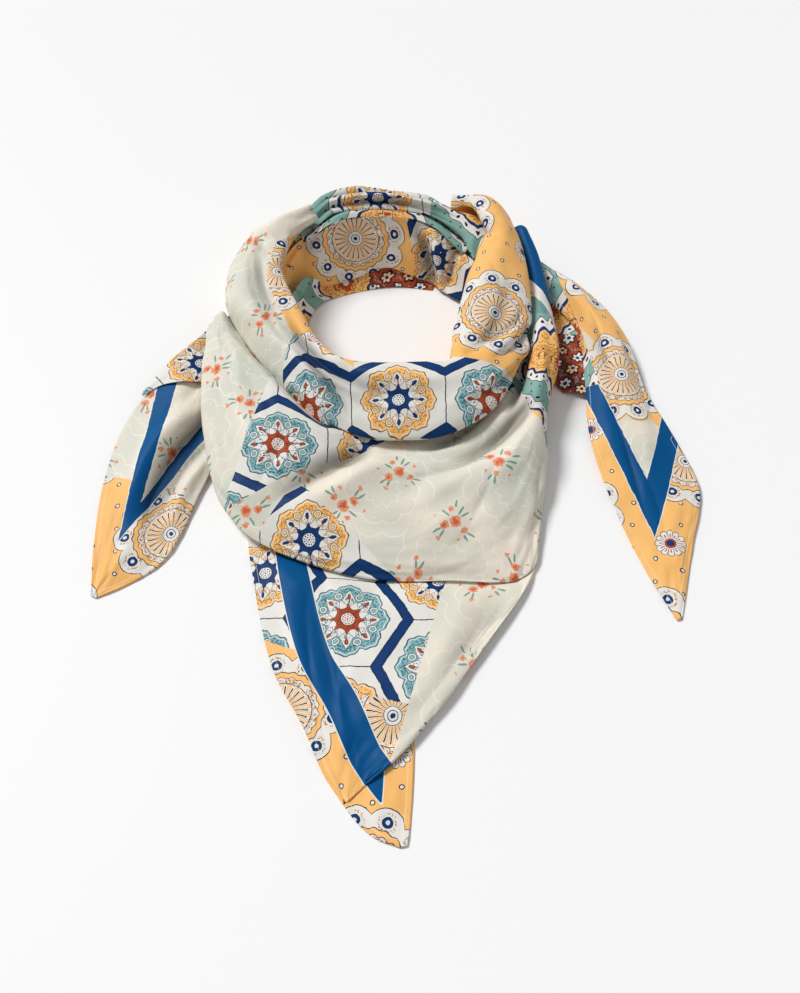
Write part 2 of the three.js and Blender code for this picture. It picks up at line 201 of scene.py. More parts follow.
# The folded edge between the rim and the inner wall at the nape: inner, ridge, outer.
NAPE_FOLD = [
    [(-118, 308, 66), (-121, 316, 71), (-124, 324, 66)],
    [(-92, 322, 70), (-94, 330, 74), (-97, 338, 68)],
    [(-54, 334, 70), (-56, 341, 74), (-58, 348, 68)],
    [(-12, 338, 68), (-12, 345, 72), (-12, 352, 66)],
    [(28, 330, 64), (32, 337, 67), (37, 344, 62)],
    [(70, 300, 56), (76, 306, 58), (83, 313, 52)],
]

# The inner wall at the nape, from foot to top.
NAPE_INNER = [
    [(-136, 228, 14), (-148, 240, 40), (-152, 248, 60)],
    [(-128, 276, 8), (-133, 292, 42), (-130, 304, 64)],
    [(-92, 286, 5), (-98, 306, 44), (-92, 320, 70)],
    [(-56, 300, 7), (-58, 318, 46), (-54, 334, 70)],
    [(-18, 310, 14), (-12, 324, 48), (-8, 337, 68)],
    [(16, 296, 8), (20, 312, 44), (27, 330, 64)],
    [(46, 278, 4), (60, 292, 38), (68, 306, 56)],
    [(84, 250, 5), (90, 257, 34), (98, 268, 46)],
]

# The lowest turn of cloth inside the ring: its edge on the table, middle, upper edge.
NAPE_LOWER = [
    [(-58, 98, 1.5), (-68, 93, 14), (-78, 90, 26)],
    [(-96, 168, 1.5), (-106, 164, 14), (-114, 162, 28)],
    [(-112, 222, 1.5), (-124, 222, 14), (-134, 224, 30)],
    [(-98, 262, 1.5), (-108, 270, 14), (-114, 278, 30)],
    [(-62, 278, 1.5), (-66, 292, 14), (-70, 304, 30)],
    [(-10, 290, 1.5), (-8, 306, 16), (-6, 318, 34)],
    [(34, 284, 1.5), (40, 300, 12), (46, 312, 24)],
]

# Folds, placed as seen from above: where one starts and ends, x y x y, how far its middle bows to the
# left of that line, its rise (negative in a trough), its half width at the start and at the end, and
# the share of its length at which it is highest.
RING_FOLDS = [
    (-170, 300, -96, 118, -22, -11, 7, 10, 0.5),
    (-150, 262, -62, 66, -28, 3.5, 7, 9, 0.5),
    (-130, 190, 20, 62, -34, -10, 5, 9, 0.45),
    (-60, 100, 70, 92, -12, 3.5, 8, 9, 0.5),
    (60, 110, 118, 250, -16, -6.5, 6, 11, 0.3),
    (78, 104, 128, 190, -10, 5, 6, 9, 0.4),
]
RING_CREASES = [
    (-136, 150, -56, 44, 3, -12, 4, 7, 0.6),
    (-132, 110, -68, 34, 3, 4.5, 4, 6, 0.5),
    (-110, 132, -40, 68, 2, 3, 5, 7, 0.5),
    (-180, 288, -106, 112, -20, -6.5, 5, 7, 0.5),
    (-154, 268, -74, 72, -26, 3, 6, 7, 0.5),
    (-197, 276, -164, 176, -8, 2.5, 6, 6, 0.4),
    (142, 182, 82, 110, 10, -10, 3, 7, 0.3),
    (136, 162, 106, 96, 6, 6.5, 4, 6, 0.35),
    (132, 196, 76, 136, 12, -8, 3, 6, 0.35),
    (66, 350, 108, 290, -8, -12, 4, 6, 0.45),
    (82, 356, 124, 296, -8, 4, 5, 6, 0.5),
    (92, 262, 108, 196, 4, -2.5, 4, 6, 0.5),
    (-86, 92, 40, 44, -16, -3.5, 5, 7, 0.4),
    (138, 150, 60, 58, 10, -8.5, 3, 7, 0.3),
    (128, 132, 34, 52, 8, 5, 4, 8, 0.3),
    (-112, 122, -20, 60, -12, -3.5, 4, 7, 0.5),
    (-190, 300, -150, 250, 6, -3.5, 4, 6, 0.4),
    (-176, 316, -140, 270, 4, 3, 4, 6, 0.4),
]
DRAPE_FOLDS = [
    (141, 200, 106, 56, 2, -18, 7, 9, 0.6),
    (156, 196, 136, 60, 4, 3.5, 7, 8, 0.5),
    (-30, 30, -150, -56, 4, -11, 9, 16, 0.25),
    (-12, 8, -126, -70, 2, 6, 11, 18, 0.3),
    (146, 84, 26, -14, 8, -12, 9, 16, 0.4),
    (140, 60, 40, -46, 6, 4, 12, 18, 0.4),
    (112, 84, 20, 14, -8, -5, 8, 10, 0.5),
    (-8, -62, 96, 22, -6, 3, 10, 14, 0.5),
    (150, 40, 70, -90, -14, 3.5, 16, 26, 0.4),
    (-180, 120, -96, -60, -16, 3, 16, 22, 0.5),
    (-60, 20, 90, -60, -10, -3, 14, 24, 0.5),
]
DRAPE_CREASES = [
    (-118, 44, -150, -34, 5, -4, 4, 6, 0.5),
    (-18, -20, 84, 8, -5, -3.5, 4, 6, 0.5),
    (96, 20, 44, -96, 8, -2.5, 5, 8, 0.5),
    (-40, 20, -138, -50, 4, -3.5, 4, 7, 0.3),
    (-196, 160, -176, 60, 10, 1.8, 6, 8, 0.4),
    (-170, 110, -150, 20, 6, -1.8, 6, 8, 0.5),
    (152, 150, 146, 40, 6, -4, 4, 6, 0.5),
    (160, 220, 158, 90, 4, 3, 5, 6, 0.5),
    (112, 52, 40, 4, 4, -3, 5, 8, 0.4),
    (142, 92, 50, 10, 8, -4, 4, 8, 0.35),
    (144, 74, 84, -20, 6, 2.5, 5, 9, 0.4),
    (60, -40, -20, -96, 8, 1.5, 6, 9, 0.5),
]
BIB_FOLDS = [
    (-122, -84, -52, -306, -10, 4, 13, 11, 0.5),
    (-92, -104, -30, -300, -12, -4, 9, 10, 0.45),
    (60, -130, -20, -280, 10, 3, 14, 20, 0.4),
    (100, -130, 20, -230, 8, -2.5, 10, 14, 0.5),
    (-20, -110, -40, -240, -6, -2, 12, 16, 0.4),
]
BIB_CREASES = [
    (-60, -130, -50, -290, -8, 3, 5, 7, 0.5),
    (-96, -120, -62, -310, -8, -3.5, 5, 6, 0.5),
    (84, -140, 0, -270, 6, -2.5, 5, 8, 0.5),
    (-82, -100, -40, -220, -8, -2, 4, 6, 0.3),
    (20, -128, 76, -170, 4, -1.2, 5, 7, 0.5),
]
TAIL_LEFT_FOLDS = [
    (-196, 96, -266, -84, -16, -18, 9, 13, 0.4),
    (-226, 96, -288, -60, -12, 7, 12, 16, 0.45),
    (-196, 40, -236, -70, -10, 7, 7, 9, 0.45),
]
TAIL_LEFT_CREASES = [
    (-194, 60, -246, -60, -14, -5.5, 4, 6, 0.4),
    (-240, 120, -262, 30, -6, -1.5, 4, 6, 0.5),
]
TAIL_RIGHT_FOLDS = [
    (196, 240, 236, 40, 6, -4, 8, 12, 0.4),
    (224, 220, 262, 20, 6, 3.5, 10, 14, 0.5),
]
TAIL_RIGHT_CREASES = [
    (214, 120, 244, -60, 4, -4.5, 5, 7, 0.5),
    (240, 200, 268, 60, 5, -3, 5, 7, 0.5),
    (206, 236, 214, 120, 4, -3, 4, 6, 0.4),
    (232, 60, 262, -90, 6, -2, 5, 7, 0.5),
]
BACK_FOLDS = [
    (-126, 330, 88, 322, 26, -4, 4, 5, 0.5),
]
BACK_CREASES = [
    (-124, 328, 74, 318, 29, -5, 2.2, 3, 0.4),
    (-128, 332, 84, 324, 30, 3, 2.2, 3, 0.5),
    (-134, 336, 92, 330, 33, -6.5, 2.2, 3.2, 0.5),
    (-136, 340, 96, 336, 35, 3, 2.4, 3.2, 0.5),
    (-70, 362, 98, 342, 18, -5, 2.4, 3.6, 0.6),
]
NAPE_FOLDS = [
    (44, 276, 8, 342, 3, -11, 5, 8, 0.4),
    (46, 276, 34, 338, 2, 5, 5, 7, 0.4),
    (46, 274, 64, 322, -2, -9, 5, 8, 0.5),
    (20, 290, -34, 336, 4, 4, 7, 12, 0.5),
    (-128, 280, -96, 318, 3, -5, 6, 9, 0.5),
]
NAPE_CREASES = [
    (40, 280, -14, 330, 4, -3, 3, 5, 0.4),
    (-110, 290, -60, 312, -6, -2.5, 4, 6, 0.5),
    (56, 276, 84, 312, 2, 5, 3, 5, 0.5),
    (30, 284, 26, 336, 2, -4, 3, 4, 0.5),
]

# The silk's unevenness: height, length along the stretch, width across it
WAVES = [
    (2, 60, 24),
    (1, 26, 12),
    (0.35, 12, 7),
]
NEXT_SEED = 100  # from one row of the table above to the next

# --- The cloth's surfaces ---


def section_points(row):
    """One section's points, with the fallen edges before its first and after its last point."""
    points = [np.array(p, float) for p in row if isinstance(p, tuple)]
    falls = [f for f in row if not isinstance(f, tuple)]
    if not falls:
        return points
    first = fallen_edge(points[0], points[1], falls[0])
    last = fallen_edge(points[-1], points[-2], falls[1])
    return [first, *points, last]


def fallen_edge(edge, inside, fall):
    inward = (inside - edge) * (1, 1, 0)
    inward *= TUCK / np.linalg.norm(inward)
    return edge + inward - (0, 0, fall)


def curve_points(points, steps):
    """A centripetal Catmull-Rom curve through the points, with that many steps between two of them."""
    p = np.array(points, float)
    p = np.vstack([2 * p[0] - p[1], p, 2 * p[-1] - p[-2]])
    out = []
    share = np.linspace(0, 1, steps, endpoint=False)[:, None]
    for k in range(1, len(p) - 2):
        a, b, c, d = p[k - 1 : k + 3]
        t = np.sqrt([max(np.linalg.norm(y - x), 1e-6) for x, y in ((a, b), (b, c), (c, d))])
        into = (b - a) / t[0] - (c - a) / (t[0] + t[1]) + (c - b) / t[1]
        away = (c - b) / t[1] - (d - b) / (t[1] + t[2]) + (d - c) / t[2]
        into, away = into * t[1], away * t[1]
        cubic = 2 * b - 2 * c + into + away
        square = -3 * b + 3 * c - 2 * into - away
        out.append(((cubic * share + square) * share + into) * share + b)
    out.append(p[-2][None])
    return np.vstack(out)


def loft(rows, across, along):
    """The middle surface of a stretch: a grid of points, along the stretch first, then across it."""
    sections = [curve_points(section_points(row), across) for row in rows]
    lines = [curve_points([s[j] for s in sections], along) for j in range(len(sections[0]))]
    return np.stack(lines, axis=1)


def smoothed(grid, passes):
    """The grid with its inner points drawn towards their neighbours' middle; its edges move only along."""
    g = grid.copy()
    for _ in range(passes):
        g[1:-1] = 0.5 * g[1:-1] + 0.25 * (g[:-2] + g[2:])
        g[:, 1:-1] = 0.5 * g[:, 1:-1] + 0.25 * (g[:, :-2] + g[:, 2:])
    return g


def normals(grid):
    ahead = np.gradient(grid, axis=0)
    beside = np.gradient(grid, axis=1)
    n = np.cross(ahead, beside)
    n /= np.maximum(np.linalg.norm(n, axis=2, keepdims=True), 1e-9)
    middle = n[n.shape[0] // 2, n.shape[1] // 2]
    return n if middle[2] > 0 else -n


SOFT, CRISP = 1.7, 1.0  # how round the top of a fold or a crease is


def fold_rise(grid, folds, roundness):
    """How far the folds lift each point of a grid along its normal."""
    rise = np.zeros(grid.shape[:2])
    for x0, y0, x1, y1, bow, height, reach_start, reach_end, peak in folds:
        run = np.array([x1 - x0, y1 - y0], float)
        size = np.linalg.norm(run)
        run /= size
        place = grid[..., :2] - (x0, y0)
        share = np.clip(place @ run / size, 0, 1)
        offset = place[..., 1] * run[0] - place[..., 0] * run[1] - 4 * bow * share * (1 - share)
        offset /= reach_start + (reach_end - reach_start) * share
        swell = np.where(share < peak, share / peak, (1 - share) / (1 - peak))
        rise += height * np.sin(np.pi / 2 * swell) * np.exp(-np.abs(offset) ** roundness)
    return rise


def settled(grid, covers):
    """The grid lowered, by MOST_DROP at most, to lie under those above it, with no kink at their edges.

    This clears only cloth that lies over cloth. Steep walls, tucked edges and cloth that is already as
    low as LOWEST may still pass through each other.
    """
    need = np.zeros(grid.shape[:2])
    up = Vector((0, 0, 1))
    for tree in covers:
        for k, point in enumerate(grid.reshape(-1, 3)):
            start = Vector(point) - up * MOST_DROP
            place = tree.ray_cast(start, up, MOST_DROP + CLEARANCE)[0]
            if place is not None:
                need.flat[k] = max(need.flat[k], point[2] + CLEARANCE - place.z)
    for axis in (0, 1):
        step = np.linalg.norm(np.diff(grid, axis=axis), axis=2).mean()
        reach = max(1, round(DROP_REACH / step))
        need = windowed(need, reach, axis, np.max)
        need = windowed(need, reach, axis, np.mean)
    return grid - need[..., None] * (0, 0, 1)


def windowed(values, reach, axis, summary):
    """Each value replaced by a summary of those within reach of it along an axis."""
    pad = [(0, 0), (0, 0)]
    pad[axis] = (reach, reach)
    padded = np.pad(values, pad, mode="edge")
    windows = np.lib.stride_tricks.sliding_window_view(padded, 2 * reach + 1, axis=axis)
    return summary(windows, axis=-1)


def quads(rows, columns):
    """The indexes of a grid's points, and the corners of its faces."""
    index = np.arange(rows * columns).reshape(rows, columns)
    corners = [index[:-1, :-1], index[1:, :-1], index[1:, 1:], index[:-1, 1:]]
    return index, np.stack(corners, axis=-1).reshape(-1, 4)


def cover(grid):
    """A search tree of a stretch's middle surface, with its normals to the side that shows."""
    _, faces = quads(*grid.shape[:2])
    ahead, beside = grid[1, 0] - grid[0, 0], grid[0, 1] - grid[0, 0]
    if np.cross(ahead, beside) @ normals(grid)[0, 0] < 0:
        faces = faces[:, ::-1]
    return BVHTree.FromPolygons(grid.reshape(-1, 3).tolist(), faces.tolist())


def resampled(coarse, rows, columns):
    """A grid drawn finer by Catmull-Rom curves with even steps."""
    fine = evenly(coarse, rows)
    return evenly(fine.swapaxes(0, 1), columns).swapaxes(0, 1)


def evenly(lines, count):
    place = np.linspace(0, len(lines) - 1, count)
    k = np.minimum(place.astype(int), len(lines) - 2)
    s = (place - k).reshape((-1,) + (1,) * (lines.ndim - 1))
    b, c = lines[k], lines[k + 1]
    a = np.where((k > 0).reshape(s.shape), lines[np.maximum(k - 1, 0)], 2 * b - c)
    last = len(lines) - 1
    d = np.where((k + 2 <= last).reshape(s.shape), lines[np.minimum(k + 2, last)], 2 * c - b)
    return b + 0.5 * s * (c - a + s * (2 * a - 5 * b + 4 * c - d + s * (3 * (b - c) + d - a)))


FLAT_ROWS, FLAT_COLUMNS = 45, 25  # the most with which a stretch is laid flat
RELAX_PASSES = 500
RELAX_SPEED = 1.6


def flattened(grid, from_row):
    """The cloth laid flat, in mm, relaxed until its lengths are right, and lying over its plan.

    from_row is the share of the way down from which its rows are laid over their plan.
    """
    rows, columns = min(FLAT_ROWS, grid.shape[0]), min(FLAT_COLUMNS, grid.shape[1])
    g = resampled(grid, rows, columns)
    step = np.linalg.norm(np.diff(g, axis=1), axis=2)
    arc = np.concatenate([np.zeros((rows, 1)), np.cumsum(step, axis=1)], axis=1)
    middle = columns // 2
    arc -= arc[:, middle : middle + 1]
    beside = g[:, -1, :2] - g[:, 0, :2]
    beside /= np.linalg.norm(beside, axis=1, keepdims=True)
    flat = g[:, middle, None, :2] + beside[:, None] * arc[..., None]
    plan = flat.copy()
    pairs = [
        (np.s_[:-1, :], np.s_[1:, :]),
        (np.s_[:, :-1], np.s_[:, 1:]),
        (np.s_[:-1, :-1], np.s_[1:, 1:]),
        (np.s_[1:, :-1], np.s_[:-1, 1:]),
    ]
    lengths = [np.linalg.norm(g[a] - g[b], axis=2) for a, b in pairs]
    for _ in range(RELAX_PASSES):
        move = np.zeros_like(flat)
        count = np.zeros(flat.shape[:2] + (1,))
        for (a, b), length in zip(pairs, lengths):
            gap = flat[b] - flat[a]
            now = np.maximum(np.linalg.norm(gap, axis=2), 1e-6)
            pull = gap * (0.5 * (now - length) / now)[..., None]
            move[a] += pull
            move[b] -= pull
            count[a] += 1
            count[b] += 1
        flat = flat + RELAX_SPEED * move / count
    flat = laid_on(flat, plan, round(from_row * rows))
    return resampled(flat, *grid.shape[:2])


def laid_on(flat, plan, first):
    """The flat cloth turned and moved, and not stretched, to lie over its plan from its row first on."""
    a, b = flat[first:].reshape(-1, 2), plan[first:].reshape(-1, 2)
    ca, cb = a.mean(0), b.mean(0)
    u, _, vt = np.linalg.svd((a - ca).T @ (b - cb))
    turn = u @ np.diag([1, np.sign(np.linalg.det(u @ vt))]) @ vt
    return (flat - ca) @ turn + cb


def distance_to(line, points):
    """The distance from each point to a line of flat points."""
    best = np.full(points.shape[:-1], 1e9)
    for a, b in zip(line[:-1], line[1:]):
        ab = b - a
        t = np.clip(((points - a) @ ab) / max(ab @ ab, 1e-9), 0, 1)
        best = np.minimum(best, np.linalg.norm(points - (a + t[..., None] * ab), axis=-1))
    return best


def soft_noise(shape, cells, seed):
    """Smooth noise from -1 to 1 on a grid, with that many cells along and across."""
    random = np.random.default_rng(seed)
    coarse = random.uniform(-1, 1, (cells[0] + 1, cells[1] + 1))
    return resampled(coarse, *shape)


def crumple(grid, seed):
    """The unevenness of the silk: low waves that run along the stretch, and smaller ones on them."""
    along = np.linalg.norm(np.diff(grid, axis=0), axis=2).sum(axis=0).mean()
    across = np.linalg.norm(np.diff(grid, axis=1), axis=2).sum(axis=1).mean()
    rise = np.zeros(grid.shape[:2])
    for height, long_side, short_side in WAVES:
        cells = (max(2, round(along / long_side)), max(2, round(across / short_side)))
        rise += height * soft_noise(grid.shape[:2], cells, seed)
        seed += NEXT_SEED
    return rise


def shell(name, grid, thickness, attributes):
    """A closed thin mesh round a grid of points in mm, with the attributes on both of its sides."""
    n = normals(grid)
    half = thickness[..., None] / 2
    layers = np.concatenate([(grid + n * half).reshape(-1, 3), (grid - n * half).reshape(-1, 3)])
    layers = (layers + SHIFT) * MM
    layers[:, 2] = np.maximum(layers[:, 2], 0.0)
    index, top = quads(*grid.shape[:2])
    under = index.size
    bottom = top[:, [0, 3, 2, 1]] + under
    rim = np.concatenate([index[0, :-1], index[:-1, -1], index[-1, :0:-1], index[:0:-1, 0]])
    after = np.roll(rim, -1)
    side = np.stack([rim, after, after + under, rim + under], axis=-1)
    faces = np.concatenate([top, bottom, side])
    corner = layers[top[len(top) // 2]]
    facing = np.cross(corner[1] - corner[0], corner[2] - corner[0])
    middle = n.reshape(-1, 3)[top[len(top) // 2][0]]
    if facing @ middle < 0:
        faces = faces[:, ::-1]
    mesh = bpy.data.meshes.new(name)
    mesh.from_pydata(layers.tolist(), [], faces.tolist())
    mesh.polygons.foreach_set("use_smooth", np.ones(len(faces), bool))
    for key, values in attributes.items():
        layer = mesh.attributes.new(key, "FLOAT_VECTOR", "POINT")
        both = np.concatenate([values.reshape(-1, 3)] * 2).astype(np.float32)
        layer.data.foreach_set("vector", both.ravel())
    mesh.update()
    piece = bpy.data.objects.new(name, mesh)
    bpy.context.scene.collection.objects.link(piece)
    return piece


# --- The print: colours, and patterns drawn by Math nodes in the flat cloth's own millimetres ---

COLOURS = {
    "cream": "EAE0D0",
    "sage": "D2D5C8",
    "white": "E8E5DF",
    "ghost": "EFEADD",
    "shadow": "BFC7B8",
    "ochre": "FAC074",
    "stipple": "BC8236",
    "blue": "005088",
    "navy": "113A70",
    "dark": "1B2036",
    "rust": "B04A24",
    "brown": "6E2F25",
    "coral": "E68355",
    "flame": "CF5C30",
    "leaf": "5E9385",
    "pale_blue": "86B4B8",
    "teal": "84ADA3",
    "petrol": "2C5F70",
    "thread": "F1EBDD",
}


def linear(hex_colour):
    values = [int(hex_colour[k : k + 2], 16) / 255 for k in (0, 2, 4)]
    return tuple(v / 12.92 if v <= 0.04045 else ((v + 0.055) / 1.055) ** 2.4 for v in values)


class Number:
    """A number that varies over the cloth, worked out by Math nodes."""

    def __init__(self, ink, socket):
        self.ink, self.socket = ink, socket

    def __radd__(self, other):
        return self.ink.math("ADD", other, self)

    def __rsub__(self, other):
        return self.ink.math("SUBTRACT", other, self)

    def __rmul__(self, other):
        return self.ink.math("MULTIPLY", other, self)

    def wrapped(self, period):
        """The offset from the nearest multiple of period."""
        return self.ink.math("WRAP", self, period / 2, -period / 2)


NUMBER_OPERATIONS = {
    "__add__": "ADD",
    "__sub__": "SUBTRACT",
    "__mul__": "MULTIPLY",
    "__truediv__": "DIVIDE",
    "__lt__": "LESS_THAN",
    "__gt__": "GREATER_THAN",
    "__abs__": "ABSOLUTE",
    "power": "POWER",
    "cosine": "COSINE",
    "sine": "SINE",
    "rounded": "ROUND",
}


def number_operation(operation):
    return lambda number, *others: number.ink.math(operation, number, *others)


for method, operation in NUMBER_OPERATIONS.items():
    setattr(Number, method, number_operation(operation))

WOBBLE = 1.3  # how far the printed lines stray, as drawn by hand
SPECK = 1.5  # the size of the specks that shade the motifs
LINE = 0.9  # the width of the dark outlines


class Ink:
    """A material whose colour is painted in layers on the flat cloth."""

    def __init__(self, name):
        self.material = bpy.data.materials.new(name)
        self.material.use_nodes = True
        self.nodes = self.material.node_tree.nodes
        self.links = self.material.node_tree.links
        self.place, (x, y, self.hem) = self.attribute("cloth")
        self.x = x + (self.noise(8, 2, 11) - 0.5) * (2 * WOBBLE)
        self.y = y + (self.noise(8, 2, 12) - 0.5) * (2 * WOBBLE)
        self.speck = self.noise(SPECK, 0, 8)
        # The rise of the folds and waves, from which the painted shade and highlight are worked out.
        self.rise = self.attribute("fold")[1][0]

    def attribute(self, name):
        """One of the mesh's vectors, as a socket and as its three numbers."""
        node = self.nodes.new("ShaderNodeAttribute")
        node.attribute_name = name
        parts = self.nodes.new("ShaderNodeSeparateXYZ")
        self.links.new(node.outputs["Vector"], parts.inputs[0])
        return node.outputs["Vector"], [Number(self, out) for out in parts.outputs]

    def math(self, operation, *values):
        node = self.nodes.new("ShaderNodeMath")
        node.operation = operation
        for socket, value in zip(node.inputs, values):
            if isinstance(value, Number):
                self.links.new(value.socket, socket)
            else:
                socket.default_value = value
        return Number(self, node.outputs[0])

    def least(self, *values):
        best = values[0]
        for value in values[1:]:
            best = self.math("MINIMUM", best, value)
        return best

    def share(self, value):
        """The value kept between 0 and 1."""
        return self.math("MINIMUM", self.math("MAXIMUM", value, 0), 1)

    def length(self, x, y):
        return (x * x + y * y).power(0.5)

    def between(self, low, value, high):
        return (value > low) * (value < high)

    def turned(self, x, y, angle, at=(0, 0)):
        """The place measured from a point, along axes turned by an angle."""
        c, s = math.cos(angle), math.sin(angle)
        u, v = x - at[0], y - at[1]
        return u * c + v * s, v * c - u * s

    def blend(self, under, over, share):
        """Two colours mixed; each is the name of a colour or a socket."""
        node = self.nodes.new("ShaderNodeMix")
        node.data_type = "RGBA"
        self.links.new(share.socket, node.inputs[0])
        for socket, value in ((node.inputs[6], under), (node.inputs[7], over)):
            if isinstance(value, str):
                socket.default_value = (*linear(COLOURS[value]), 1)
            else:
                self.links.new(value, socket)
        return node.outputs[2]

    def coated(self, out, *coats):
        """A colour under coats, laid in order: the colour of each, and its share at each place."""
        for colour, share in coats:
            out = self.blend(out, colour, share)
        return out

    def edged(self, colour, distance, line=LINE):
        """Two coats: a colour where the distance is below 0, over a wider dark one that outlines it."""
        return ("dark", distance < line), (colour, distance < 0)

    def noise(self, scale, detail, seed):
        """Noise from 0 to 1, about 0.5, with features of that size in mm."""
        node = self.nodes.new("ShaderNodeTexNoise")
        node.noise_dimensions = "4D"
        self.links.new(self.place, node.inputs["Vector"])
        set_inputs(node, {"Scale": 1 / scale, "Detail": detail, "W": seed})
        return Number(self, node.outputs["Fac"])

    def chance(self, x, y, seed):
        """A random number from 0 to 1 for each whole x and y."""
        joined = self.nodes.new("ShaderNodeCombineXYZ")
        self.links.new(x.socket, joined.inputs[0])
        self.links.new(y.socket, joined.inputs[1])
        joined.inputs[2].default_value = seed
        node = self.nodes.new("ShaderNodeTexWhiteNoise")
        self.links.new(joined.outputs[0], node.inputs["Vector"])
        return Number(self, node.outputs["Value"])


def polar(ink, x, y):
    return ink.length(x, y), ink.math("ARCTAN2", y, x)


def petal_share(ink, angle, count, phase=0):
    """0 on the middle of each of count petals, 1 half way between two."""
    turn = angle * (count / (2 * math.pi)) + phase
    return abs(turn.wrapped(1)) * 2


def beads(ink, radius, angle, count, at, size, phase=0):
    """The distance from the nearest of count beads on a circle, less their size."""
    side = (angle * (count / (2 * math.pi)) + phase).wrapped(1) * (2 * math.pi / count)
    return ink.length(radius - at, side * radius) - size


def staggered(ink, x, y, width, height):
    """A lattice with every other row moved by half a width: the place in its cell, and which row."""
    ax, ay = x.wrapped(width), y.wrapped(height)
    bx, by = (x - width / 2).wrapped(width), (y - height / 2).wrapped(height)
    first = (ax * ax + ay * ay) < (bx * bx + by * by)
    return bx + first * (ax - bx), by + first * (ay - by), first


HEX_WIDTH = 98
HEX_BAND = 4.2  # half the width of the blue zigzag


def honeycomb(ink, x, y):
    """Hexagons on white with blue zigzags between their rows, and a rosette in each."""
    hx, hy, _ = staggered(ink, x, y, HEX_WIDTH, HEX_WIDTH * math.sqrt(3))
    side = HEX_WIDTH / 2 - abs(hx)
    slant = HEX_WIDTH / 2 - (abs(hx) * 0.5 + abs(hy) * (math.sqrt(3) / 2))
    out = ink.blend("white", "sage", ink.share((ink.noise(60, 1, 3) - 0.42) * 1.6))
    navy = ((x - hx) * (math.pi / HEX_WIDTH) + math.pi / 4).cosine() > 0
    return ink.coated(
        rosette(ink, out, hx, hy, navy),
        ("dark", side < 0.55),
        *ink.edged("navy", slant - HEX_BAND, 0.8),
        ("dark", (slant > HEX_BAND - 1.6) * (slant < HEX_BAND - 0.9) * (ink.speck > 0.5) * 0.7),
    )


def rosette(ink, out, x, y, navy):
    """Eight pointed petals in a scalloped collar: navy on ochre, or rust on pale blue."""
    radius, angle = polar(ink, x, y)
    share = petal_share(ink, angle, 8)
    collar = ink.blend("pale_blue", "ochre", navy)
    core = ink.blend("rust", "navy", navy)
    stipple = ink.blend("petrol", "stipple", navy)
    specks = (ink.speck > 0.56) * 0.85
    lobe = 38.5 - share.power(1.6) * 5.5 + (angle * 24).cosine() * 0.6
    loops = beads(ink, radius, angle, 8, 26, 3.6, 0.5)
    petal = 31 - share.power(0.9) * 14
    notch = 20.5 - (1 - share).power(0.8) * 9
    star = 15.6 - share.power(0.8) * 5.6 + (angle * 16).cosine() * 0.7
    return ink.coated(
        out,
        *ink.edged(collar, radius - lobe),
        ("white", abs(radius - (lobe - 1.6)) < 0.35),
        (stipple, beads(ink, radius, angle, 48, 33, 0.7) < 0),
        (stipple, (radius < lobe - 3) * specks),
        *ink.edged(collar, radius - (lobe - 8.4), 0.5),
        *ink.edged("white", loops, 0.6),
        *ink.edged(collar, loops + 1.6, 0.4),
        *ink.edged("white", radius - petal, 0.8),
        (stipple, (radius < petal - 2) * specks),
        *ink.edged(core, ink.length((radius - 23.5) * 0.5, share * 9) - 1.3, 0.4),
        ("dark", (share < 0.05) * ink.between(15, radius, 20)),
        *ink.edged("white", radius - notch, 0.6),
        *ink.edged(core, radius - star, 0.7),
        ("dark", (radius < star - 1) * (ink.speck > 0.6) * 0.6),
        *ink.edged("white", radius - 6.4, 0.6),
        (core, beads(ink, radius, angle, 11, 4.9, 0.75) < 0),
        (core, beads(ink, radius, angle, 6, 2.7, 0.6) < 0),
        (core, radius < 0.9),
    )


MEDALLION_PITCH = (148, 156)


def medallions(ink, x, y):
    """Scalloped medallions, flower heads and ring dots on ochre."""
    out = ink.blend("ochre", "stipple", ink.share((ink.noise(45, 2, 5) - 0.5) * 0.5))
    out = ring_dots(ink, out, x, y)
    width, height = MEDALLION_PITCH
    out = flower_head(ink, out, (x - width / 2).wrapped(width), (y - height / 2).wrapped(height))
    return medallion(ink, out, x.wrapped(width), y.wrapped(height))


def pale_medallions(ink, x, y):
    """The same medallions far apart on pale silk."""
    return medallion(ink, clouds(ink, x, y), x.wrapped(190), y.wrapped(230))


def ring_dots(ink, out, x, y):
    dx, dy, _ = staggered(ink, x + 9, y, 29, 43)
    return ink.coated(out, *ink.edged("white", ink.length(dx, dy) - 1.5, 1))


def flower_head(ink, out, x, y):
    radius, angle = polar(ink, x, y)
    share = petal_share(ink, angle, 12)
    edge = 14.5 - share * share * 2.6
    return ink.coated(
        out,
        ("ochre", radius < edge + 4),
        *ink.edged("white", radius - edge, 0.7),
        ("rust", ink.between(6, radius, 11) * (share < 0.22)),
        ("dark", (share > 0.88) * (radius < edge)),
        ("rust", radius < 5.6),
        ("navy", radius < 3.8),
    )


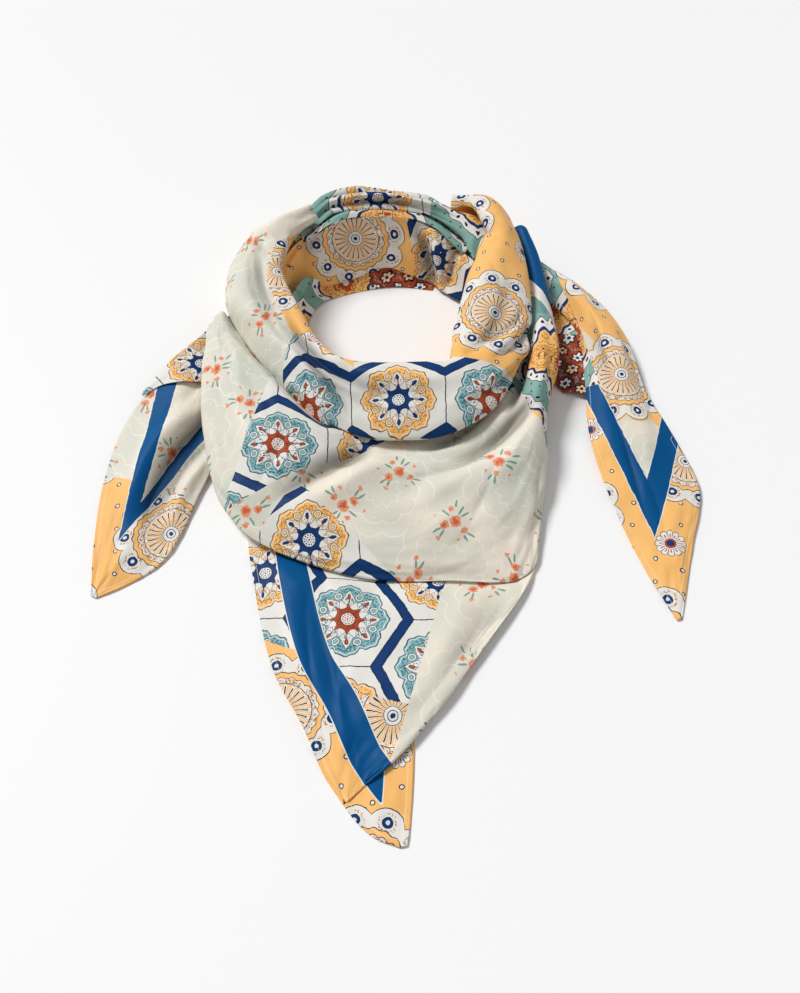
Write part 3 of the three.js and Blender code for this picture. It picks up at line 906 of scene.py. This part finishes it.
def medallion(ink, out, x, y):
    """A scalloped medallion: lobes with eyes, a wavy ochre band, spokes and a ringed centre."""
    radius, angle = polar(ink, x, y)
    lobe = 58 - petal_share(ink, angle, 10).power(2.2) * 9
    eye = beads(ink, radius, angle, 10, 46.5, 0)
    wave = radius - (38 + (angle * 22).cosine() * 0.8)
    spoke = petal_share(ink, angle, 22)
    return ink.coated(
        out,
        ("ochre", radius < lobe + 3),
        *ink.edged("white", radius - lobe),
        ("stipple", ink.between(6.4, eye, 8.8) * (ink.speck > 0.57)),
        *ink.edged("navy", eye - 4.5, 0.5),
        ("white", eye < 1.9),
        *ink.edged("ochre", wave),
        *ink.edged("white", wave + 5.3, 0.7),
        ("stipple", ink.between(27.5, radius, 32) * (ink.speck > 0.54)),
        ("dark", ink.between(26.6, radius, 27.4)),
        ("ochre", ink.between(9, radius, 26) * (spoke < 0.56)),
        ("dark", ink.between(9, radius, 24) * (spoke > 0.8)),
        ("white", ink.between(15, radius, 24.5) * (spoke < 0.16)),
        *ink.edged("white", radius - 7.9, 0.7),
        ("dark", ink.between(4.2, radius, 5)),
        ("navy", radius < 2.2),
    )


SPRIG_PITCH = (104, 118)
# Blooms of a sprig: x, y, radius. Leaves: x, y, direction in degrees, half length.
BLOOMS = [
    (0, 0, 5.4),
    (11, 4.5, 4.2),
    (-9.5, 8, 2.8),
    (4.5, -12.5, 2.6),
    (-16, -4, 1.3),
    (21, -5.5, 1.2),
    (-3, 17.5, 1.3),
    (17, 18, 1.9),
]
LEAVES = [
    (-9, -7.5, 212, 4.6),
    (-5.5, -11.5, 240, 5.4),
    (-1, -19, 264, 4.2),
    (9.5, -8.5, 318, 4.8),
    (18, 9.5, 32, 5),
    (13.5, 13, 58, 4.4),
    (-15.5, 12.5, 150, 4.6),
    (-10.5, 15.5, 118, 3.8),
]
LEAF_WIDTH = 2.3


def sprigs(ink, x, y):
    """Small coral sprigs scattered on pale silk."""
    px, py, _ = staggered(ink, x, y, *SPRIG_PITCH)
    cell = ((x - px) * 0.1).rounded(), ((y - py) * 0.1).rounded()
    px = px + (ink.chance(*cell, 1) - 0.5) * 26
    py = py + (ink.chance(*cell, 2) - 0.5) * 22
    turn = ink.chance(*cell, 3) * (2 * math.pi)
    c, s = turn.cosine(), turn.sine()
    px, py = px * c + py * s, py * c - px * s
    ragged = (ink.noise(3, 2, 2) - 0.5) * 7
    leaf = ink.least(*(leaf_distance(ink, px, py, *row) for row in LEAVES))
    bloom = ink.least(*(ink.length(px - bx, py - by) - size for bx, by, size in BLOOMS))
    return ink.coated(
        clouds(ink, x, y),
        ("leaf", (leaf + ragged * 0.1 < 1) * 0.85),
        ("coral", (bloom + ragged < 0.3) * 0.82),
        ("flame", (bloom + ragged * 1.5 < -2.4) * 0.85),
    )


def leaf_distance(ink, x, y, at_x, at_y, degrees, half):
    u, v = ink.turned(x, y, math.radians(degrees), (at_x, at_y))
    return ink.length(u / half, v / (LEAF_WIDTH / 2))


def clouds(ink, x, y):
    """Cream and sage in soft clouds, with faint outlines of medallions."""
    gx, gy, _ = staggered(ink, x + 20, y + 35, 132, 150)
    radius, angle = polar(ink, gx, gy)
    share = petal_share(ink, angle, 10)
    lobe = 52 - share * share * 7
    lines = (abs(radius - lobe) < 0.9) + (abs(radius - lobe * 0.72) < 0.8)
    lines = lines + (abs(radius - (20 - share * 6)) < 0.8)
    lines = lines + ink.between(30, radius, lobe * 0.7) * (ink.speck > 0.57) * 0.6
    return ink.coated(
        "cream",
        ("sage", ink.share((ink.noise(75, 1.5, 1) - 0.42) * 3.2)),
        ("shadow", (radius < lobe * 0.7) * 0.22),
        ("ghost", lines * 0.65),
    )


def lozenges(ink, x, y):
    """Wavy lozenges of ochre, navy, white and teal, one inside the other."""
    lx, ly, _ = staggered(ink, x * 0.8, y * 0.8, 96, 124)
    radius, angle = polar(ink, lx, ly)
    q = abs(lx) + abs(ly) * 0.78 + (angle * 12).cosine() * 1.4
    return ink.coated(
        "teal",
        ("petrol", (ink.noise(30, 2, 6) > 0.6) * 0.3),
        ("dark", beads(ink, q, angle, 22, 43.5, 1.1) < 0),
        *ink.edged("white", q - 39.2, 0.8),
        ("dark", beads(ink, q, angle, 20, 35, 1.8) < 0),
        ("navy", q < 31),
        ("ochre", q < 27.4),
        ("stipple", (q < 25) * (ink.speck > 0.54)),
        ("dark", ink.between(12.5, q, 13.5)),
        ("rust", q < 9),
        ("white", radius < 3),
    )


def blossoms(ink, x, y):
    """White and ochre blossoms crowded on rust and brown."""
    bx, by, first = staggered(ink, x, y, 26, 30)
    bx = bx + (ink.noise(20, 1, 14) - 0.5) * 10
    by = by + (ink.noise(20, 1, 15) - 0.5) * 10
    radius, angle = polar(ink, bx, by)
    petals = radius - (6.4 - petal_share(ink, angle, 6).power(1.5) * 3.2)
    return ink.coated(
        "rust",
        ("brown", ink.share((ink.noise(22, 2, 13) - 0.45) * 5)),
        *ink.edged(ink.blend("white", "ochre", first * 0.7), petals, 2.4),
        ("navy", radius < 2.2),
        ("teal", ink.between(11, radius, 12.6) * (ink.speck > 0.5)),
    )


def bands(ink, x, y):
    """A white band beside a blue one."""
    return ink.blend("white", "blue", x > 12)


PATTERNS = {
    "sprigs": sprigs,
    "honeycomb": honeycomb,
    "medallions": medallions,
    "pale_medallions": pale_medallions,
    "lozenges": lozenges,
    "blossoms": blossoms,
    "bands": bands,
}
BORDER = (26, 55)  # where the blue band starts and ends, from the hem
BAND_EDGE = 1  # the white line along the blue band
THREAD = (4.9, 5.5)  # where the hem's thread shows, from the hem's edge


def printed(name, layers, border=None, outside=(), cut=None, over=()):
    """A material painted in layers, the first all over and the rest inside their half planes.

    A layer is a pattern, the place of its middle, its turn in degrees, and its half planes. A half
    plane is x, y and a direction in degrees: all that lies beyond that point in that direction. border
    is where the blue band starts and ends, from the hem, and outside holds the layers between it and
    the hem. Where two bands meet in a corner, cut holds the half planes inside their outer edges, then
    those inside their inner edges. over holds the layers that cover the band.
    """
    ink = Ink(name)
    out = painted(ink, "cream", layers)
    if border:
        inside, beyond = ink.hem - border[0], border[1] - ink.hem
    if cut:
        inside, beyond = side_of(ink, cut[0]), side_of(ink, cut[1]) * -1
    if border or cut:
        band = ink.least(inside, beyond)
        edge = painted(ink, out, outside)
        out = ink.coated(out, (edge, inside < 0), ("white", band > -BAND_EDGE), ("blue", band > 0))
    out = painted(ink, out, over)
    out = ink.blend(out, "thread", ink.between(THREAD[0], ink.hem, THREAD[1]) * 0.45)
    finish_silk(ink, out)
    return ink.material


def painted(ink, out, layers):
    """Layers of the print over a colour, each painted inside its half planes."""
    for pattern, middle, degrees, *planes in layers:
        x, y = ink.turned(ink.x, ink.y, math.radians(degrees), middle)
        over = PATTERNS[pattern](ink, x, y)
        out = ink.blend(out, over, side_of(ink, planes) > 0) if planes else over
    return out


def side_of(ink, planes):
    """How far a place is inside all of the half planes, below 0 where it is outside of one."""
    return ink.least(*(ink.turned(ink.x, ink.y, math.radians(a), (px, py))[0] for px, py, a in planes))


TROUGH_START = 2  # the depth of a trough at which its painted shade starts
TROUGH_DEPTH = 7  # how much deeper its painted shade is darkest
TROUGH_PAINTED_SHADE = 0.5  # how much darker the painted shade makes it
RIDGE_HEIGHT = 6  # of a fold whose top gets the full painted highlight
RIDGE_PAINTED_HIGHLIGHT = 0.1  # how much brighter the painted highlight makes it
TONE_SPREAD = 0.08  # how much the brightness of the dye varies over the cloth
ROUGHNESS, ROUGHNESS_SPREAD = 0.42, 0.12
TWILL = 0.8  # from one twill line to the next
TWILL_RELIEF = 0.05  # of the twill lines, where the silk's grain has 1
BUMP = {"Strength": 0.35, "Distance": 0.0005}
GLOSS = {"Specular IOR Level": 0.1, "Sheen Weight": 0.02, "Sheen Roughness": 0.4}


def set_inputs(node, values):
    for socket, value in values.items():
        node.inputs[socket].default_value = value


def finish_silk(ink, colour):
    """The satin surface: painted shade in the troughs of the folds and waves, a painted highlight on their
    ridges, fine twill lines, and a soft gloss.
    """
    shader = ink.nodes["Principled BSDF"]
    dye_and_painted_light = (ink.noise(9, 3, 4) - 0.5) * TONE_SPREAD + 1
    # Painted shade: the base colour darkens in the troughs of the folds and waves.
    dye_and_painted_light = dye_and_painted_light - ink.share((ink.rise + TROUGH_START) / -TROUGH_DEPTH) * TROUGH_PAINTED_SHADE
    # Painted highlight: the base colour brightens on the ridges of the folds and waves.
    dye_and_painted_light = dye_and_painted_light + ink.share(ink.rise / RIDGE_HEIGHT) * RIDGE_PAINTED_HIGHLIGHT
    colour_with_painted_light = ink.nodes.new("ShaderNodeHueSaturation")
    ink.links.new(colour, colour_with_painted_light.inputs["Color"])
    ink.links.new(dye_and_painted_light.socket, colour_with_painted_light.inputs["Value"])
    ink.links.new(colour_with_painted_light.outputs[0], shader.inputs["Base Color"])
    rough = ink.noise(14, 2, 7) * ROUGHNESS_SPREAD + ROUGHNESS
    ink.links.new(rough.socket, shader.inputs["Roughness"])
    set_inputs(shader, GLOSS)
    twill = ((ink.x + ink.y) * (2 * math.pi / TWILL)).cosine()
    bump = ink.nodes.new("ShaderNodeBump")
    set_inputs(bump, BUMP)
    ink.links.new((twill * TWILL_RELIEF + ink.noise(5, 3, 10)).socket, bump.inputs["Height"])
    ink.links.new(bump.outputs[0], shader.inputs["Normal"])


# --- The pieces ---

NO_HEM = 500.0  # the hem distance of a stretch that shows no hem
HEM_FADE = 1.5  # over which the hem thins out to the cloth
SLIM = 50.0  # the width below which a stretch is too narrow for its full folds
TIP_START = 0.62  # of the way down a tail, where its folded edge ends and its hem comes out
LEAST_SHARE = 0.32  # of its box that a flat stretch fills, unless it is a bent strip
COVERS = []  # the search trees of the stretches built so far


def build(name, rows, steps, seed, folds=(), creases=(), hems=(), smooth=6, from_row=0):
    """A stretch of the scarf: its table lofted, folded, crumpled and lowered under those built before."""
    grid = smoothed(loft(rows, *steps), smooth)
    rise = fold_rise(grid, folds, SOFT) + fold_rise(grid, creases, CRISP) + crumple(grid, seed)
    width = np.linalg.norm(np.diff(grid, axis=1), axis=2).sum(axis=1)
    rise *= np.clip(width / SLIM, 0, 1)[:, None]
    grid = grid + normals(grid) * rise[..., None]
    grid = settled(grid, COVERS)
    grid[..., 2] = np.maximum(grid[..., 2], LOWEST)
    COVERS.append(cover(grid))
    flat = flattened(grid, from_row)
    tip = round(TIP_START * len(flat))
    edges = {"first": flat[:, 0], "last": flat[:, -1], "tip": flat[tip:, -1]}
    hem = np.full(grid.shape[:2], NO_HEM)
    for side in hems:
        hem = np.minimum(hem, distance_to(edges[side], flat))
    rolled = np.clip((HEM_WIDTH - hem) / HEM_FADE, 0, 1)
    thickness = CLOTH + (HEM_THICKNESS - CLOTH) * rolled
    # The rise of the folds and waves, kept on the mesh for the material's painted shade and highlight.
    fold = rise[..., None] * (1, 0, 0)
    piece = shell(name, grid, thickness, {"cloth": np.dstack([flat, hem]), "fold": fold})
    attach(piece, "root")
    return piece, flat


def flat_size(flat):
    """The cut of a flat stretch, in metres: its width and length, and its area.

    A bent strip is measured across and along itself, any other stretch by its box.
    """
    points = flat.reshape(-1, 2) * MM
    points = points - points.mean(0)
    across = np.linalg.svd(points, full_matrices=False)[2]
    length, width = np.ptp(points @ across.T, axis=0)
    u, v = flat[1:, :-1] - flat[:-1, :-1], flat[:-1, 1:] - flat[:-1, :-1]
    area = np.abs(u[..., 0] * v[..., 1] - u[..., 1] * v[..., 0]).sum() * MM * MM
    if area < LEAST_SHARE * width * length:
        length = np.linalg.norm(np.diff(flat, axis=0), axis=2).sum(axis=0).mean() * MM
        width = np.linalg.norm(np.diff(flat, axis=1), axis=2).sum(axis=1).max() * MM
    return (float(width), float(length)), float(min(area, width * length))


def dress(made, nodes, material):
    """Gives a stretch its material and hides the parts of the model that it stands for; the cut of its cloth is
    worked out but not used.
    """
    piece, flat = made
    piece.data.materials.append(material)
    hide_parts(*nodes)
    size, area = flat_size(flat)


def make_ring():
    layers = [
        ("sprigs", (-150, 190), 20),
        ("honeycomb", (-6, 62), 0, (-134, 100, -18)),
        ("medallions", (98, 176), 20, (60, 110, 78), (0, 200, 0)),
        ("medallions", (-132, 238), 60, (-112, 148, 53), (-136, 196, 20), (-145, 258, 0),
         (-113, 317, -42), (-50, 200, 180)),
    ]
    made = build("scarf_ring", RING, (18, 20), 1, RING_FOLDS, RING_CREASES)
    nodes = ["collar_left", "collar_front", "collar_right", "ring_core"]
    silk = printed("ring_silk", layers)
    dress(made, nodes, silk)


def make_ring_back():
    layers = [("lozenges", (-40, 350), 8), ("honeycomb", (-30, 352), 10, (30, 340, 180), (-70, 350, 0))]
    made = build("scarf_ring_back", RING_BACK, (36, 20), 2, BACK_FOLDS, BACK_CREASES, smooth=3)
    silk = printed("back_silk", layers)
    dress(made, ["collar_back"], silk)


def make_drape():
    layers = [
        ("sprigs", (0, 0), 0),
        ("honeycomb", (-226, 9), 4, (-158, 40, -14), (-103, -12, 118)),
        ("honeycomb", (-92, -86), 4, (-127, -52, -34), (-62, -68, 224)),
        ("lozenges", (160, 138), 8, (134, 70, 22)),
        ("bands", (152, 214), 20, (152, 214, 16), (150, 120, 90)),
    ]
    made = build("scarf_drape", DRAPE, (14, 22), 3, DRAPE_FOLDS, DRAPE_CREASES)
    silk = printed("drape_silk", layers)
    dress(made, ["drape"], silk)


def make_bib():
    layers = [
        ("honeycomb", (-58, -70), 90),
        ("sprigs", (60, -200), 30, (24, -160, -14)),
        ("medallions", (-12, -262), 0, (-30, -246, 262), (24, -160, 166)),
    ]
    outside = [("medallions", (-112, -262), 30, (-120, -196, 250))]
    made = build("scarf_bib", BIB, (44, 22), 4, BIB_FOLDS, BIB_CREASES, hems=["first"], from_row=0.7)
    silk = printed("bib_silk", layers, BORDER, outside)
    dress(made, ["bib"], silk)


def make_point():
    layers = [("medallions", (-112, -262), 30)]
    made = build("scarf_point", BIB_POINT, (18, 14), 5, hems=["first", "last"])
    dress(made, ["bib_point"], printed("point_silk", layers, BORDER))


def make_tail_left():
    layers = [("sprigs", (-250, 40), 60)]
    outside = [("medallions", (-232, -70), 40, (-260, -14, 250))]
    made = build(
        "scarf_tail_left", TAIL_LEFT, (28, 20), 6, TAIL_LEFT_FOLDS, TAIL_LEFT_CREASES, ["first", "last"]
    )
    cut = [[(-285, -76, -4), (-285, -76, 148)], [(-268, -31, -7), (-268, -31, 152)]]
    silk = printed("tail_left_silk", layers, outside=outside, cut=cut)
    dress(made, ["tail_left"], silk)


def make_tail_left_turn():
    layers = [("honeycomb", (-226, 150), 40)]
    made = build("scarf_tail_left_turn", TAIL_LEFT_TURN, (18, 18), 7)
    silk = printed("turn_silk", layers)
    dress(made, ["tail_left_turn"], silk)


def make_tail_right():
    layers = [("pale_medallions", (240, 124), 0), ("medallions", (240, 124), 0, (229, 148, 30))]
    outside = [("medallions", (300, 20), 25)]
    made = build(
        "scarf_tail_right", TAIL_RIGHT, (28, 20), 8, TAIL_RIGHT_FOLDS, TAIL_RIGHT_CREASES, ["first", "tip"]
    )
    cut = [[(252, -74, 17), (252, -74, 159)], [(253, -6, 18), (253, -6, 159)]]
    over = [("lozenges", (190, 196), 0, (200, 190, 192), (200, 118, 80))]
    silk = printed("tail_right_silk", layers, outside=outside, cut=cut, over=over)
    dress(made, ["tail_right"], silk)


def make_tail_right_back():
    layers = [("blossoms", (180, 180), 15), ("lozenges", (170, 240), 0, (180, 205, 80))]
    made = build("scarf_tail_right_back", TAIL_RIGHT_BACK, (18, 18), 9)
    dress(made, ["tail_right_back"], printed("tail_back_silk", layers))


def make_nape_fold():
    layers = [("lozenges", (-20, 330), 0)]
    made = build("scarf_nape_fold", NAPE_FOLD, (12, 18), 10)
    dress(made, ["nape_fold"], printed("fold_silk", layers))


def make_nape_inner():
    layers = [("medallions", (-60, 322), 10), ("honeycomb", (40, 300), 30, (8, 300, 8))]
    made = build("scarf_nape_inner", NAPE_INNER, (18, 20), 11, NAPE_FOLDS, NAPE_CREASES)
    dress(made, ["nape_inner"], printed("nape_silk", layers))


def make_nape_lower():
    layers = [("lozenges", (-100, 200), 20), ("blossoms", (-20, 300), 0, (-40, 290, 20))]
    made = build("scarf_nape_lower", NAPE_LOWER, (18, 18), 12)
    dress(made, ["nape_lower"], printed("lower_silk", layers))


# The stretches from the top one down, because each is lowered under those before it.
make_ring()
make_ring_back()
make_drape()
make_bib()
make_point()
make_tail_left_turn()
make_tail_left()
make_tail_right()
make_tail_right_back()
make_nape_fold()
make_nape_inner()
make_nape_lower()

# --- Camera, floor and light, in metres ---

VIEW_ELEVATION = math.radians(55)
VIEW_DISTANCE = 1.05
TARGET = Vector((-0.0025, -0.0255, 0))
SENSOR = 36
LENS = 36.9
FLOOR_REACH = 6  # from its middle to its sides
FLOOR_DROP = 0.0005  # how far it lies below the scarf's rest face
PAPER = {"Base Color": (0.95, 0.95, 0.953, 1), "Roughness": 0.6}
SKY = {"Color": (1, 1, 1, 1), "Strength": 0.34}
# The studio's soft lights: name, where each stands, how wide it is in degrees, and its strength
SUNS = [
    ("key", (-1, 0.75, 1.4), 18, 2.6),
    ("side", (1.6, -0.6, 1), 60, 0.15),
]


def make_camera():
    data = bpy.data.cameras.new("camera")
    data.sensor_width = SENSOR
    data.lens = LENS
    camera = bpy.data.objects.new("camera", data)
    bpy.context.scene.collection.objects.link(camera)
    back = Vector((0, -math.cos(VIEW_ELEVATION), math.sin(VIEW_ELEVATION)))
    camera.location = TARGET + back * VIEW_DISTANCE
    camera.rotation_euler = (math.pi / 2 - VIEW_ELEVATION, 0, 0)
    bpy.context.scene.camera = camera


def paper():
    material = bpy.data.materials.new("paper")
    material.use_nodes = True
    set_inputs(material.node_tree.nodes["Principled BSDF"], PAPER)
    return material


def make_floor():
    mesh = bpy.data.meshes.new("floor")
    corners = [(-1, -1), (1, -1), (1, 1), (-1, 1)]
    places = [(x * FLOOR_REACH, y * FLOOR_REACH, -FLOOR_DROP) for x, y in corners]
    mesh.from_pydata(places, [], [(0, 1, 2, 3)])
    floor = bpy.data.objects.new("floor", mesh)
    bpy.context.scene.collection.objects.link(floor)
    floor.data.materials.append(paper())


def make_light():
    world = bpy.data.worlds.new("studio")
    bpy.context.scene.world = world
    world.use_nodes = True
    set_inputs(world.node_tree.nodes["Background"], SKY)
    for name, place, angle, strength in SUNS:
        data = bpy.data.lights.new(name, "SUN")
        data.angle = math.radians(angle)
        data.energy = strength
        light = bpy.data.objects.new(name, data)
        bpy.context.scene.collection.objects.link(light)
        light.location = place
        light.rotation_euler = (-light.location).to_track_quat("-Z", "Y").to_euler()
    bpy.context.scene.view_settings.view_transform = "Standard"


make_camera()
make_floor()
make_light()
